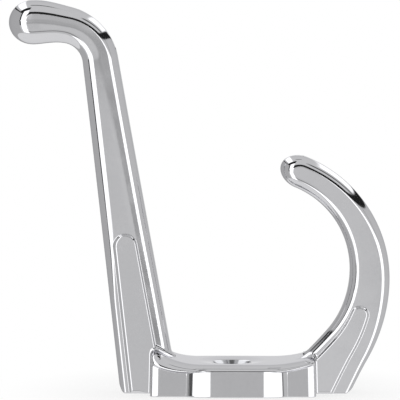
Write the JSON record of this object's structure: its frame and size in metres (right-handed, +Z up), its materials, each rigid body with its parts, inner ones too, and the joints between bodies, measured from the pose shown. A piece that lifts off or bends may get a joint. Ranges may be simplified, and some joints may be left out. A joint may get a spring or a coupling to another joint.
{
  "type": "hat and coat hook",
  "caption": "Polished cast hat and coat hook with a long hat arm, a curled coat prong and a low base with a countersunk screw hole.",
  "frame": {"origin": "on the screw hole's axis, in the plane of the wall", "axes": "+Z up the wall towards the hat arm, +Y into the wall, -Y out into the room, X across the hook"},
  "size_m": [0.0246, 0.0979, 0.0948],
  "materials": {
    "chrome_plate": "polished chrome plate on a die casting"
  },
  "bodies": {
    "root": {"hook_casting": "chrome_plate"}
  },
  "joints": []
}
